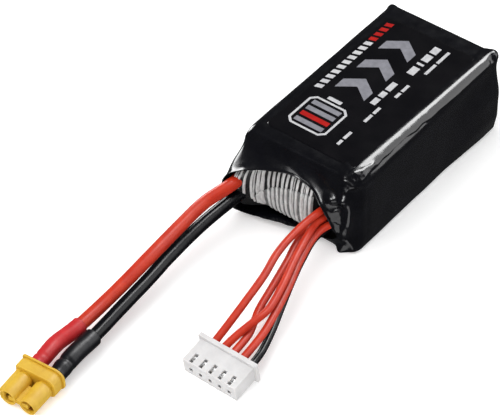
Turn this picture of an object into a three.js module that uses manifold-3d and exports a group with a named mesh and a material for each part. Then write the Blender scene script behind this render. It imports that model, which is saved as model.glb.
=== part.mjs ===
// Four-cell lithium polymer battery pack with main leads, power connector and balance plug.
// Millimetres, +Z up. The pack lies flat on z = 0 with its leads toward -Y.
import * as THREE from 'three';
import { mergeVertices } from 'three/addons/utils/BufferGeometryUtils.js';
import Module from 'manifold-3d';

const wasm = await Module();
wasm.setup();

// ---------- driving dimensions ----------
const packWidth = 30;
const packHeight = 21.7;
const packLength = 53.3;
const spoutReach = 9; // the film runs on past the front edge, around the main leads
const backY = (packLength + spoutReach) / 2;
const frontY = backY - packLength;
const filmWall = 0.3;
const cornerRadius = 2.2;

const cellCount = 4;
const cellWidth = 28.2;
const cellThickness = 4.65;
const cellBodyLength = 42.2;
const terraceLength = 3;
const padThickness = 0.45;
const stackGap = 0.1;
const stackBottom = 0.55;
const cellBackY = backY - 1.15;
const cellFrontY = cellBackY - cellBodyLength;

const tabWidth = 6;
const tabOffset = 8;
const tabFoil = 0.2;
const boardFrontY = frontY + 4.65;
const boardThickness = 1;

const mainLeadRadius = 1.5;
const balanceLeadRadius = 0.85;
const shrinkWall = 0.25;
const powerPitch = 5;
const balancePitch = 2.5;
const balanceWays = 5;

// ---------- materials ----------
function material(colour, roughness, metalness = 0) {
  return new THREE.MeshStandardMaterial({ color: colour, roughness, metalness });
}
const sleeveFilm = material(0x131318, 0.22);
const labelFilm = material(0x1d1d22, 0.3);
const cellPouch = material(0xb9bcc0, 0.35, 0.8);
const tabAluminium = material(0xc9ccd0, 0.35, 1);
const tabNickel = material(0xb4ae9f, 0.4, 1);
const adhesivePad = material(0xe8e4d4, 0.8);
const boardLaminate = material(0x1f5a3a, 0.5);
const insulatorPaper = material(0xc6d2a4, 0.85);
const foam = material(0x1a1a1c, 0.95);
const filamentTape = material(0xd4d6da, 0.4);
const endCard = material(0x2a2a2e, 0.8);
const redSilicone = material(0xd9362c, 0.5);
const blackSilicone = material(0x18181a, 0.5);
const redShrink = material(0xc6252e, 0.4);
const blackShrink = material(0x141416, 0.4);
const connectorYellow = material(0xf0b52c, 0.4);
const connectorWhite = material(0xecebe6, 0.5);
const goldContact = material(0xc79a45, 0.3, 1);
const tinContact = material(0xc4c6c9, 0.3, 1);
const copperCore = material(0xb7846a, 0.4, 1);

// ---------- helpers ----------
const pack = new THREE.Group();

function addPiece(name, geometry, pieceMaterial, parent = pack) {
  const mesh = new THREE.Mesh(geometry, pieceMaterial);
  mesh.name = name;
  parent.add(mesh);
  return mesh;
}

function boxAt(width, depth, height, x, y, z) {
  return new THREE.BoxGeometry(width, depth, height).translate(x, y, z);
}

function toSolid(geometry) {
  const bare = geometry.clone();
  bare.deleteAttribute('normal');
  bare.deleteAttribute('uv');
  const merged = mergeVertices(bare, 1e-4);
  const mesh = new wasm.Mesh({
    numProp: 3,
    vertProperties: new Float32Array(merged.attributes.position.array),
    triVerts: new Uint32Array(merged.index.array),
  });
  return new wasm.Manifold(mesh);
}

function toGeometry(solid) {
  const mesh = solid.getMesh();
  const geometry = new THREE.BufferGeometry();
  geometry.setAttribute('position', new THREE.BufferAttribute(new Float32Array(mesh.vertProperties), 3));
  geometry.setIndex(new THREE.BufferAttribute(new Uint32Array(mesh.triVerts), 1));
  geometry.computeVertexNormals();
  return geometry;
}

function combine(added, removed = []) {
  let solid = toSolid(added[0]);
  for (const geometry of added.slice(1)) {
    solid = solid.add(toSolid(geometry));
  }
  for (const geometry of removed) {
    solid = solid.subtract(toSolid(geometry));
  }
  return toGeometry(solid);
}

function roundedRectangle(width, height, radius) {
  const x = width / 2;
  const y = height / 2;
  const shape = new THREE.Shape();
  shape.moveTo(-x + radius, -y);
  shape.lineTo(x - radius, -y);
  shape.absarc(x - radius, -y + radius, radius, -Math.PI / 2, 0);
  shape.lineTo(x, y - radius);
  shape.absarc(x - radius, y - radius, radius, 0, Math.PI / 2);
  shape.lineTo(-x + radius, y);
  shape.absarc(-x + radius, y - radius, radius, Math.PI / 2, Math.PI);
  shape.lineTo(-x, -y + radius);
  shape.absarc(-x + radius, -y + radius, radius, Math.PI, 1.5 * Math.PI);
  return shape;
}

// Extrudes an outline drawn in X and Z from y = fromY to y = toY.
function extrudeAlongY(shape, fromY, toY, curveSegments = 5) {
  const geometry = new THREE.ExtrudeGeometry(shape, {
    depth: toY - fromY,
    bevelEnabled: false,
    curveSegments,
  });
  return geometry.rotateX(Math.PI / 2).translate(0, toY, 0);
}

// Extrudes an outline drawn in Y and Z across the width, from x = fromX to x = toX.
function extrudeAlongX(shape, fromX, toX) {
  const geometry = new THREE.ExtrudeGeometry(shape, { depth: toX - fromX, bevelEnabled: false });
  geometry.applyMatrix4(new THREE.Matrix4().set(0, 0, 1, 0, 1, 0, 0, 0, 0, 1, 0, 0, 0, 0, 0, 1));
  return geometry.translate(fromX, 0, 0);
}

function ringSection(outerRadius, innerRadius, sides) {
  const section = new THREE.Shape();
  for (let i = 0; i < sides; i += 1) {
    const angle = (2 * Math.PI * i) / sides;
    const x = outerRadius * Math.cos(angle);
    const y = outerRadius * Math.sin(angle);
    if (i === 0) section.moveTo(x, y);
    else section.lineTo(x, y);
  }
  section.closePath();
  if (innerRadius > 0) {
    const hole = new THREE.Path();
    for (let i = 0; i < sides; i += 1) {
      const angle = (-2 * Math.PI * i) / sides;
      const x = innerRadius * Math.cos(angle);
      const y = innerRadius * Math.sin(angle);
      if (i === 0) hole.moveTo(x, y);
      else hole.lineTo(x, y);
    }
    hole.closePath();
    section.holes.push(hole);
  }
  return section;
}

// The stretch of a route between two lengths measured from its start.
function stretch(route, fromLength, toLength, steps) {
  const total = route.getLength();
  const points = [];
  for (let i = 0; i <= steps; i += 1) {
    const along = fromLength + ((toLength - fromLength) * i) / steps;
    points.push(route.getPointAt(THREE.MathUtils.clamp(along / total, 0, 1)));
  }
  return new THREE.CatmullRomCurve3(points);
}

function tube(path, section, steps) {
  return new THREE.ExtrudeGeometry(section, { steps, extrudePath: path, bevelEnabled: false });
}

// ---------- shrink sleeve ----------
const ringPoints = 48;

// A point on the body's cross-section, clockwise from the top centre. Each quarter turn has three
// equal parts: half a flat long side, a rounded corner and half a flat short side.
function crossSectionPoint(share, inset) {
  const halfWidth = packWidth / 2 - inset;
  const halfHeight = packHeight / 2 - inset;
  const radius = Math.max(cornerRadius - inset * 0.3, 0.6);
  const flatX = halfWidth - radius;
  const flatZ = halfHeight - radius;
  const quadrant = Math.floor(share * 4) % 4;
  const passed = share * 4 - Math.floor(share * 4);
  const part = quadrant % 2 === 1 ? 3 - 3 * passed : 3 * passed;
  let x = flatX * part;
  let z = halfHeight;
  if (part > 2) {
    x = halfWidth;
    z = flatZ * (3 - part);
  } else if (part > 1) {
    const angle = ((part - 1) * Math.PI) / 2;
    x = flatX + radius * Math.sin(angle);
    z = flatZ + radius * Math.cos(angle);
  }
  const signX = quadrant < 2 ? 1 : -1;
  const signZ = quadrant === 0 || quadrant === 3 ? 1 : -1;
  return new THREE.Vector2(signX * x, packHeight / 2 + signZ * z);
}

// The free edge of the film around the leads, clockwise from the top centre.
const mouthRim = new THREE.CatmullRomCurve3(
  [
    new THREE.Vector3(-0.5, -25.5, 17.2),
    new THREE.Vector3(5.2, -25.3, 15.4),
    new THREE.Vector3(8.4, -26.2, 12.4),
    new THREE.Vector3(10.5, -24.7, 8.0),
    new THREE.Vector3(10.8, -23.9, 4.2),
    new THREE.Vector3(7.5, -24.1, 2.2),
    new THREE.Vector3(0, -25.4, 2.1),
    new THREE.Vector3(-8.0, -26.9, 1.5),
    new THREE.Vector3(-14.0, -28.2, 1.2),
    new THREE.Vector3(-14.65, -29.6, 5.5),
    new THREE.Vector3(-14.65, frontY - spoutReach, 11.2),
    new THREE.Vector3(-10.2, -28.9, 15.9),
  ],
  true,
);

function sleeveRings() {
  const rings = [];
  const windowInset = 5;
  const rearRings = [[windowInset, 0], [1.4, 0], [0.4, 0.4], [0, 1.5]];
  for (const [inset, back] of rearRings) {
    rings.push((share) => {
      const p = crossSectionPoint(share, inset);
      return new THREE.Vector3(p.x, backY - back, p.y);
    });
  }
  const shoulderY = frontY + 2;
  for (const y of [backY - 20, backY - 36, shoulderY]) {
    rings.push((share) => {
      const p = crossSectionPoint(share, 0);
      return new THREE.Vector3(p.x, y, p.y);
    });
  }
  for (const turn of [0.25, 0.5, 0.75, 1]) {
    rings.push((share) => {
      const p = crossSectionPoint(share, 0);
      const rim = mouthRim.getPoint(share);
      const forward = Math.sin((turn * Math.PI) / 2);
      const inward = 1 - Math.cos((turn * Math.PI) / 2);
      return new THREE.Vector3(
        THREE.MathUtils.lerp(p.x, rim.x, inward),
        THREE.MathUtils.lerp(shoulderY, rim.y, forward),
        THREE.MathUtils.lerp(p.y, rim.z, inward),
      );
    });
  }
  return rings;
}

function shellGeometry(rings, wall) {
  const outer = rings.map((ring) => {
    const points = [];
    for (let i = 0; i < ringPoints; i += 1) points.push(ring(i / ringPoints));
    return points;
  });
  const last = outer.length - 1;
  const inner = outer.map((points, row) => points.map((point, i) => {
    const before = points[(i + ringPoints - 1) % ringPoints];
    const after = points[(i + 1) % ringPoints];
    const around = after.clone().sub(before);
    const along = outer[Math.min(row + 1, last)][i].clone().sub(outer[Math.max(row - 1, 0)][i]);
    const normal = along.cross(around).normalize();
    return point.clone().addScaledVector(normal, -wall);
  }));
  const positions = [];
  for (const rows of [outer, inner]) {
    for (const points of rows) {
      for (const point of points) positions.push(point.x, point.y, point.z);
    }
  }
  const index = [];
  const at = (side, row, i) => (side * outer.length + row) * ringPoints + (i % ringPoints);
  const quad = (a, b, c, d) => index.push(a, c, b, a, d, c);
  for (let i = 0; i < ringPoints; i += 1) {
    for (let row = 0; row < last; row += 1) {
      quad(at(0, row, i), at(0, row, i + 1), at(0, row + 1, i + 1), at(0, row + 1, i));
      quad(at(1, row, i), at(1, row + 1, i), at(1, row + 1, i + 1), at(1, row, i + 1));
    }
    quad(at(0, 0, i), at(1, 0, i), at(1, 0, i + 1), at(0, 0, i + 1));
    quad(at(0, last, i), at(0, last, i + 1), at(1, last, i + 1), at(1, last, i));
  }
  const geometry = new THREE.BufferGeometry();
  geometry.setAttribute('position', new THREE.Float32BufferAttribute(positions, 3));
  geometry.setIndex(index);
  geometry.computeVertexNormals();
  return geometry;
}

addPiece('shrink_sleeve', shellGeometry(sleeveRings(), filmWall), sleeveFilm);

const labelWidth = 24;
const labelLength = 46;
const labelMiddleY = 3.3;
const labelFoil = 0.1;
addPiece(
  'top_label',
  boxAt(labelWidth, labelLength, labelFoil, 0, labelMiddleY, packHeight + 0.05 + labelFoil / 2),
  labelFilm,
);

// ---------- cell stack ----------
const cellPitch = cellThickness + padThickness + 2 * stackGap;

function cellCentreZ(cell) {
  return stackBottom + cellThickness / 2 + cell * cellPitch;
}

for (let cell = 0; cell < cellCount; cell += 1) {
  const z = cellCentreZ(cell);
  const pouch = extrudeAlongY(roundedRectangle(cellWidth, cellThickness, 1.6), cellFrontY, cellBackY);
  const terrace = boxAt(cellWidth, terraceLength + 1, 0.5, 0, cellFrontY - terraceLength / 2 + 0.5, 0);
  addPiece(`cell_${cell + 1}`, combine([pouch, terrace]), cellPouch).position.z = z;
}

for (let gap = 0; gap < cellCount - 1; gap += 1) {
  const z = cellCentreZ(gap) + cellPitch / 2;
  const y = (cellFrontY + cellBackY) / 2;
  addPiece(`cell_pad_${gap + 1}`, boxAt(24, 38, padThickness, 0, y, z), adhesivePad);
}

// A foil tab leaves the cell, passes through the board and folds down over its front.
function tabGeometry() {
  const rearY = cellFrontY - terraceLength - 0.2;
  const foldY = boardFrontY - 0.45;
  const foldDrop = 1.6;
  const outline = new THREE.Shape([
    new THREE.Vector2(rearY, tabFoil / 2),
    new THREE.Vector2(foldY, tabFoil / 2),
    new THREE.Vector2(foldY, -foldDrop),
    new THREE.Vector2(foldY + tabFoil, -foldDrop),
    new THREE.Vector2(foldY + tabFoil, -tabFoil / 2),
    new THREE.Vector2(rearY, -tabFoil / 2),
  ]);
  return extrudeAlongX(outline, -tabWidth / 2, tabWidth / 2);
}

const slots = [];
for (let cell = 0; cell < cellCount; cell += 1) {
  const side = cell % 2 === 0 ? -1 : 1;
  const positive = addPiece(`cell_${cell + 1}_positive_tab`, tabGeometry(), tabAluminium);
  const negative = addPiece(`cell_${cell + 1}_negative_tab`, tabGeometry(), tabNickel);
  positive.position.set(side * tabOffset, 0, cellCentreZ(cell));
  negative.position.set(-side * tabOffset, 0, cellCentreZ(cell));
  for (const x of [-tabOffset, tabOffset]) {
    slots.push(boxAt(tabWidth + 0.8, 8, 0.9, x, boardFrontY, cellCentreZ(cell)));
  }
}

const boardWidth = 26;
const boardHeight = 19.6;
const boardBottom = 0.9;

function slottedPlate(thickness, y) {
  const plate = boxAt(boardWidth, thickness, boardHeight, 0, y, boardBottom + boardHeight / 2);
  return combine([plate], slots);
}

addPiece('tab_board', slottedPlate(boardThickness, boardFrontY + boardThickness / 2), boardLaminate);
addPiece('tab_insulator', slottedPlate(0.2, boardFrontY + boardThickness + 0.3), insulatorPaper);
addPiece('rear_end_card', boxAt(26.8, 0.4, 18.6, 0, backY - 0.75, packHeight / 2), endCard);

// ---------- foam nose and its filament tape ----------
const noseLeft = -9.8;
const noseRight = 5.2;
const noseCentreZ = 9.8;
const noseHalfHeight = 8.9;
const noseBackY = frontY + 3.75;
const noseDepth = 5.2;
const noseMidY = frontY + 2.1;

function nosePoint(angle, grow) {
  return new THREE.Vector2(
    noseMidY - (noseDepth + grow) * Math.cos(angle),
    noseCentreZ + (noseHalfHeight + grow) * Math.sin(angle),
  );
}

function noseArc(fromAngle, toAngle, grow, steps) {
  const points = [];
  for (let i = 0; i <= steps; i += 1) {
    points.push(nosePoint(fromAngle + ((toAngle - fromAngle) * i) / steps, grow));
  }
  return points;
}

const noseOutline = noseArc(-Math.PI / 2, Math.PI / 2, 0, 18);
noseOutline.push(new THREE.Vector2(noseBackY, noseCentreZ + noseHalfHeight));
noseOutline.push(new THREE.Vector2(noseBackY, noseCentreZ - noseHalfHeight));
addPiece('foam_block', extrudeAlongX(new THREE.Shape(noseOutline), noseLeft, noseRight), foam);

function tapeBand(fromAngle, toAngle, grow) {
  const tapeThickness = 0.2;
  const outside = noseArc(fromAngle, toAngle, grow + tapeThickness, 12);
  const inside = noseArc(toAngle, fromAngle, grow, 12);
  const outline = new THREE.Shape([...outside, ...inside]);
  return extrudeAlongX(outline, noseLeft + 0.2, noseRight - 0.1);
}

addPiece('filament_tape_upper', tapeBand(0.1, 1.2, 0.12), filamentTape);
addPiece('filament_tape_lower', tapeBand(-1.25, 0.35, 0.42), filamentTape);

// ---------- power connector ----------
// Its own frame has the mating face toward -Y and the rear face of the flange at y = 0.
const powerConnector = new THREE.Group();
powerConnector.position.set(-14.0, -91.4, 2.9);
powerConnector.rotation.set(THREE.MathUtils.degToRad(4), 0, THREE.MathUtils.degToRad(4.5), 'ZXY');
pack.add(powerConnector);

const barrelRadius = 2.1;
const barrelBore = 1.5;
const noseFaceY = -9.6;
const cupReach = 3.2;

function barrel(radius, fromY, toY, x) {
  const sides = 24;
  return new THREE.CylinderGeometry(radius, radius, toY - fromY, sides).translate(x, (fromY + toY) / 2, 0);
}

const powerSides = [-powerPitch / 2, powerPitch / 2];
const powerHousing = combine(
  [
    extrudeAlongY(roundedRectangle(9.8, 5.1, 0.9), -3.3, -0.7, 4),
    extrudeAlongY(roundedRectangle(10.5, 5.7, 1.1), -0.8, 0, 4),
    ...powerSides.map((x) => barrel(barrelRadius, noseFaceY, -3, x)),
    boxAt(powerPitch, 6.6, 1.8, 0, noseFaceY / 2 - 1.5, 0),
  ],
  powerSides.map((x) => barrel(barrelBore, noseFaceY - 1, 1, x)),
);
addPiece('power_connector_housing', powerHousing, connectorYellow, powerConnector);

function socketGeometry() {
  const outside = 1.38;
  const bore = 1;
  const cup = 1.3;
  const profile = [
    [0, -3], [bore, -3], [bore, noseFaceY + 0.3], [outside, noseFaceY + 0.3], [outside, -0.4],
    [cup, 0], [cup, cupReach], [bore, cupReach], [bore, 0.5], [0, 0.5],
  ];
  return new THREE.LatheGeometry(profile.map(([r, y]) => new THREE.Vector2(r, y)), 20);
}

// ---------- balance connector ----------
const balanceConnector = new THREE.Group();
balanceConnector.position.set(13.8, -64.9, 3.4);
balanceConnector.rotation.set(THREE.MathUtils.degToRad(10), 0, THREE.MathUtils.degToRad(-0.5), 'ZXY');
pack.add(balanceConnector);

const balanceNoseY = -7.2;

function balanceX(way) {
  return (way - (balanceWays - 1) / 2) * balancePitch;
}

const balanceCuts = [];
for (let way = 0; way < balanceWays; way += 1) {
  balanceCuts.push(boxAt(1.9, 12, 1.9, balanceX(way), -3.6, 0));
  balanceCuts.push(boxAt(1.1, 2.6, 3, balanceX(way), -4.7, 2));
}
const balanceHousing = combine(
  [
    extrudeAlongY(roundedRectangle(13.8, 4.2, 0.4), balanceNoseY, -0.5, 2),
    extrudeAlongY(roundedRectangle(15, 5.7, 0.5), -1, 0, 2),
  ],
  balanceCuts,
);
addPiece('balance_connector_housing', balanceHousing, connectorWhite, balanceConnector);

for (let way = 0; way < balanceWays; way += 1) {
  const shell = boxAt(1.5, 5.8, 1.5, balanceX(way), -3.3, 0);
  const mouth = boxAt(0.9, 5, 0.9, balanceX(way), -6, 0);
  addPiece(`balance_contact_${way + 1}`, combine([shell], [mouth]), tinContact, balanceConnector);
}

// ---------- leads ----------
powerConnector.updateMatrix();
balanceConnector.updateMatrix();

function route(points, connector, x, rearStops) {
  const list = points.map(([px, py, pz]) => new THREE.Vector3(px, py, pz));
  for (const y of rearStops) {
    list.push(new THREE.Vector3(x, y, 0).applyMatrix4(connector.matrix));
  }
  return new THREE.CatmullRomCurve3(list);
}

const mainLeads = [
  {
    colour: 'red',
    pole: 'positive',
    silicone: redSilicone,
    shrink: redShrink,
    shrinkLength: 15,
    shrinkRadius: 1.84,
    points: [
      [-12.8, -18.6, 11.0], [-12.75, -30.7, 11.4], [-14.8, -37.4, 9.9], [-15.3, -45.4, 8.6],
      [-15.3, -55.7, 7.3], [-15.6, -63.4, 5.8], [-16.0, -71.2, 4.5], [-16.3, -79.5, 3.9],
    ],
  },
  {
    colour: 'black',
    pole: 'negative',
    silicone: blackSilicone,
    shrink: blackShrink,
    shrinkLength: 13,
    shrinkRadius: 1.88,
    points: [
      [-11.6, -18.6, 7.6], [-12.0, -28.7, 7.7], [-13.0, -40.3, 6.9], [-13.3, -51.6, 5.5],
      [-12.9, -59.8, 4.7], [-12.6, -68.0, 4.1], [-12.2, -77.6, 3.4],
    ],
  },
];

mainLeads.forEach((lead, side) => {
  const x = powerSides[side];
  const path = route(lead.points, powerConnector, x, [cupReach + 4, cupReach, 0.3]);
  const total = path.getLength();
  const leadEnd = total - cupReach - 0.1;
  const insulation = stretch(path, 0, leadEnd, 30);
  addPiece(`${lead.colour}_main_lead`, tube(insulation, ringSection(mainLeadRadius, 0, 10), 30), lead.silicone);
  const shrinkPath = stretch(path, total - lead.shrinkLength, total, 12);
  const shrinkSection = ringSection(lead.shrinkRadius, lead.shrinkRadius - shrinkWall, 16);
  addPiece(`${lead.colour}_lead_shrink`, tube(shrinkPath, shrinkSection, 12), lead.shrink);
  const socket = addPiece(`power_socket_${lead.pole}`, socketGeometry(), goldContact, powerConnector);
  socket.position.x = x;
  const core = addPiece(
    `${lead.colour}_lead_core`,
    new THREE.CylinderGeometry(0.8, 0.8, 2.2, 12),
    copperCore,
    powerConnector,
  );
  core.position.set(x, 0.5 + 0.3 + 1.1, 0);
});

const balanceLeads = [
  [
    [8.8, -18.6, 11.4], [7.0, -25.8, 10.7], [6.4, -31.9, 10.2], [6.6, -39.4, 9.3], [7.9, -46.1, 8.2],
    [8.5, -52.8, 6.8], [8.8, -59.3, 5.1],
  ],
  [
    [9.8, -18.6, 9.4], [7.5, -26.4, 9.0], [8.7, -32.3, 9.2], [10.6, -39.4, 8.7], [12.5, -45.8, 7.8],
    [13.8, -52.4, 6.8], [13.3, -56.2, 6.3], [12.0, -60.9, 4.8],
  ],
  [
    [7.6, -18.6, 7.4], [6.5, -26.8, 7.2], [6.6, -31.6, 7.4], [8.5, -38.8, 7.0], [9.9, -45.5, 6.0],
    [11.2, -52.1, 4.9], [12.2, -55.0, 4.3], [13.3, -58.2, 4.0],
  ],
  [
    [11.4, -18.6, 7.8], [8.7, -26.5, 7.4], [8.8, -29.9, 7.4], [10.6, -37.2, 7.0], [12.7, -43.6, 6.2],
    [14.5, -50.2, 5.4], [15.9, -56.8, 4.6],
  ],
  [
    [9.8, -18.6, 5.4], [8.0, -27.4, 5.6], [9.4, -34.3, 5.2], [11.8, -42.1, 4.4], [13.9, -48.2, 3.4],
    [15.7, -53.3, 2.7], [17.8, -59.8, 2.8],
  ],
];

balanceLeads.forEach((points, way) => {
  const last = way === balanceWays - 1;
  const path = route(points, balanceConnector, balanceX(way), [0.3]);
  const geometry = tube(path, ringSection(balanceLeadRadius, 0, 8), 26);
  addPiece(`balance_lead_${way + 1}`, geometry, last ? blackSilicone : redSilicone);
});

export default pack;
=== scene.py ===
"""Looks for a four-cell lithium polymer battery pack with main leads and a balance plug.

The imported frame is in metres. Dimensions below are written in millimetres and turned into metres
where a mesh or a curve is made. The pack lies flat on z = 0 with its leads toward -Y.
"""

import math
import random

import bmesh
import bpy
import numpy as np
from mathutils import Matrix, Vector, noise


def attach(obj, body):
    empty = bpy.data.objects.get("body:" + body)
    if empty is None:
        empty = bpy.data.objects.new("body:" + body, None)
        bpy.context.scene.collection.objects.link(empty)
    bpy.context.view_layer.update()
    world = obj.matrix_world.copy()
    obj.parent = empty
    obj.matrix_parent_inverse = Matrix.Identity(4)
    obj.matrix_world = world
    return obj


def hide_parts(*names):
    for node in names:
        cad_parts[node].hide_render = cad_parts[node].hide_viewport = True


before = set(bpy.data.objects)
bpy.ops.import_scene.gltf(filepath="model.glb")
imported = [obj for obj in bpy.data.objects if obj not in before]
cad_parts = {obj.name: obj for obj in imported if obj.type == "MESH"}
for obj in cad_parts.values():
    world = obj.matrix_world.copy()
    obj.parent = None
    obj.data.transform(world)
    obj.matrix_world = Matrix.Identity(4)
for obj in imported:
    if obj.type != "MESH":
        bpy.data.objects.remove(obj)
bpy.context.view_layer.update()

scene = bpy.context.scene
MM = 0.001
chance = random.Random(41)

PACK_WIDTH = 30.0
PACK_HEIGHT = 21.7
BACK_Y = 31.15
FRONT_Y = -22.15
MAIN_LEAD_RADIUS = 1.5
BALANCE_LEAD_RADIUS = 0.85
POWER_PITCH = 5.0
BALANCE_PITCH = 2.5
BALANCE_WAYS = range(1, 6)
BLACK_WAY = 5


# ---- camera
def aim(obj, target):
    direction = Vector(target) - obj.location
    obj.rotation_mode = "QUATERNION"
    obj.rotation_quaternion = direction.to_track_quat("-Z", "Y")


camera = bpy.data.objects.new("camera", bpy.data.cameras.new("camera"))
scene.collection.objects.link(camera)
camera.location = Vector((0.23394, -0.34299, 0.38409))
aim(camera, (-0.012445, -0.02455, 0.0))
camera.data.sensor_width = 36.0
camera.data.lens = 180.96
camera.data.clip_start = 0.01
camera.data.clip_end = 20.0
scene.camera = camera
scene.view_settings.view_transform = "Standard"


# ---- mesh helpers
class Shape:
    """Collects points and faces, in millimetres, of the bodies that make up one piece."""

    def __init__(self):
        self.points = []
        self.faces = []

    def add(self, points, faces):
        start = len(self.points)
        self.points.extend(points)
        self.faces.extend([tuple(i + start for i in face) for face in faces])

    def loft(self, rings, caps=True, joined=False):
        """Joins rings of equal length. joined makes the last ring meet the first."""
        count, rows = len(rings[0]), len(rings)
        points = [p for ring in rings for p in ring]
        faces = []
        for row in range(rows if joined else rows - 1):
            here, there = row * count, (row + 1) % rows * count
            for i in range(count):
                j = (i + 1) % count
                faces.append((here + i, here + j, there + j, there + i))
        if caps and not joined:
            faces.append(tuple(range(count - 1, -1, -1)))
            faces.append(tuple((rows - 1) * count + i for i in range(count)))
        self.add(points, faces)

    def piece(self, name, slot, finish, nodes=(), place=None, sharp_angle=40.0, closed=True):
        """The bodies as one object on the pack, which stands for the given frame nodes."""
        points = self.points if place is None else [place @ Vector(p) for p in self.points]
        mesh = bpy.data.meshes.new(name)
        mesh.from_pydata([tuple(float(c) * MM for c in p) for p in points], [], self.faces)
        mesh.validate()
        if closed:
            work = bmesh.new()
            work.from_mesh(mesh)
            bmesh.ops.recalc_face_normals(work, faces=work.faces)
            work.to_mesh(mesh)
            work.free()
        mesh.shade_smooth()
        mesh.set_sharp_from_angle(angle=math.radians(sharp_angle))
        piece = bpy.data.objects.new(name, mesh)
        scene.collection.objects.link(piece)
        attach(piece, "root")
        if nodes:
            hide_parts(*nodes)
        piece.data.materials.append(finish)
        return piece


def smoothstep(low, high, value):
    t = np.clip((value - low) / (high - low), 0.0, 1.0)
    return t * t * (3.0 - 2.0 * t)


def noise_at(points, scale, seed):
    """Smooth noise from -1 to 1 at each point. scale is the size of a feature in millimetres."""
    shift = Vector((seed * 13.7, seed * 7.9, seed * 3.3))
    return np.array([noise.noise(Vector(p) / scale + shift) for p in points])


def path_distance(points, path):
    """Distance from each point to a line of straight stretches."""
    points = np.asarray(points, float)
    best = np.full(len(points), 1e9)
    for a, b in zip(path[:-1], path[1:]):
        a = np.asarray(a, float)
        b = np.asarray(b, float)
        along = b - a
        share = np.clip(((points - a) @ along) / (along @ along), 0.0, 1.0)
        gap = np.linalg.norm(points - (a + share[:, None] * along), axis=1)
        best = np.minimum(best, gap)
    return best


def catmull_rom(points, per_stretch, closed=False):
    """A centripetal curve through the points."""
    keys = [np.asarray(p, float) for p in points]
    if closed:
        padded = keys[-1:] + keys + keys[:2]
    else:
        padded = [2.0 * keys[0] - keys[1]] + keys + [2.0 * keys[-1] - keys[-2]]
    out = []
    for p0, p1, p2, p3 in zip(padded, padded[1:], padded[2:], padded[3:]):
        t1 = max(np.linalg.norm(p1 - p0), 1e-6) ** 0.5
        t2 = t1 + max(np.linalg.norm(p2 - p1), 1e-6) ** 0.5
        t3 = t2 + max(np.linalg.norm(p3 - p2), 1e-6) ** 0.5
        for step in range(per_stretch):
            t = t1 + (t2 - t1) * step / per_stretch
            a1 = (t1 - t) / t1 * p0 + t / t1 * p1
            a2 = (t2 - t) / (t2 - t1) * p1 + (t - t1) / (t2 - t1) * p2
            a3 = (t3 - t) / (t3 - t2) * p2 + (t - t2) / (t3 - t2) * p3
            b1 = (t2 - t) / t2 * a1 + t / t2 * a2
            b2 = (t3 - t) / (t3 - t1) * a2 + (t - t1) / (t3 - t1) * a3
            out.append((t2 - t) / (t2 - t1) * b1 + (t - t1) / (t2 - t1) * b2)
    if not closed:
        out.append(keys[-1])
    return np.array(out)


def resample(path, count):
    """The same path with points at equal spacing."""
    path = np.asarray(path, float)
    steps = np.linalg.norm(np.diff(path, axis=0), axis=1)
    passed = np.concatenate([[0.0], np.cumsum(steps)])
    wanted = np.linspace(0.0, passed[-1], count)
    return np.stack([np.interp(wanted, passed, path[:, k]) for k in range(3)], axis=1)


def path_length(path):
    return float(np.linalg.norm(np.diff(np.asarray(path, float), axis=0), axis=1).sum())


def sweep(path, radius_at, sides):
    """Rings round a path. radius_at takes the share of the path passed and the angle."""
    path = np.asarray(path, float)
    tangents = np.gradient(path, axis=0)
    tangents /= np.linalg.norm(tangents, axis=1)[:, None]
    side = np.cross(tangents[0], (0.0, 0.0, 1.0))
    side /= np.linalg.norm(side)
    turns = [2.0 * math.pi * k / sides for k in range(sides)]
    rings = []
    for i, (point, tangent) in enumerate(zip(path, tangents)):
        side = side - (side @ tangent) * tangent
        side /= np.linalg.norm(side)
        rise = np.cross(side, tangent)
        share = i / (len(path) - 1)
        ring = []
        for angle in turns:
            reach = math.cos(angle) * side + math.sin(angle) * rise
            ring.append(point + radius_at(share, angle) * reach)
        rings.append(ring)
    return rings


# ---- material helpers
def nodes_of(name):
    finish = bpy.data.materials.new(name)
    finish.use_nodes = True
    tree = finish.node_tree
    return finish, tree, tree.nodes["Principled BSDF"]


def add_node(tree, kind, **values):
    """A node with inputs or settings given by name."""
    node = tree.nodes.new(kind)
    for key, value in values.items():
        if key in node.inputs:
            node.inputs[key].default_value = value
        else:
            setattr(node, key, value)
    return node


def set_inputs(node, values):
    for key, value in values.items():
        node.inputs[key].default_value = value


def join(tree, *links):
    for source, output, target, socket in links:
        tree.links.new(source.outputs[output], target.inputs[socket])


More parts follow.
